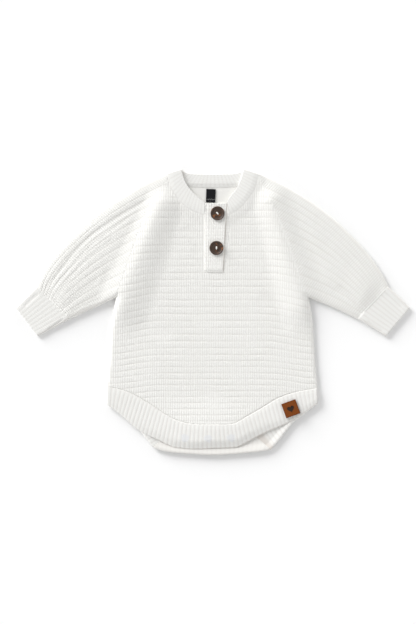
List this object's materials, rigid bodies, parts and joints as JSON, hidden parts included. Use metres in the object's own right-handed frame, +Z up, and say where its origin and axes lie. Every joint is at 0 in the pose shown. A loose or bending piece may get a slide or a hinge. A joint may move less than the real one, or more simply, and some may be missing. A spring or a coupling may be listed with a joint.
{
  "type": "baby romper",
  "caption": "Long-sleeved baby bubble romper in chunky cotton knit, laid flat, with a buttoned placket, ribbed bands and snaps at the crotch.",
  "frame": {"origin": "on the surface that the romper lies on, below the middle of its bounding box", "axes": "+X across the romper towards the sleeve on the patch's side, +Y towards the neck, +Z up out of the front"},
  "size_m": [0.5126, 0.3724, 0.0107],
  "materials": {
    "cotton_knit": "soft off-white cotton, chunky purl ridges, matt",
    "rib_knit": "soft off-white cotton, ribbed, matt",
    "coconut_shell": "dark turned coconut shell with grain, satin",
    "snap_metal": "plain nickel-plated brass",
    "leather": "tan leather with darker cut edges, satin",
    "woven_label": "black woven satin tape, no lettering"
  },
  "bodies": {
    "root": {"front_panel": "cotton_knit", "back_panel": "cotton_knit", "sleeve_left": "cotton_knit", "sleeve_right": "cotton_knit", "placket_overlap": "cotton_knit", "placket_underlap": "cotton_knit", "cuff_left": "rib_knit", "cuff_right": "rib_knit", "neckband": "rib_knit", "front_leg_band": "rib_knit", "back_leg_band_left": "rib_knit", "back_leg_band_right": "rib_knit", "back_crotch_band": "rib_knit", "button_top": "coconut_shell", "button_bottom": "coconut_shell", "snap_left": "snap_metal", "snap_middle": "snap_metal", "snap_right": "snap_metal", "leather_patch": "leather", "neck_label": "woven_label"}
  },
  "joints": []
}
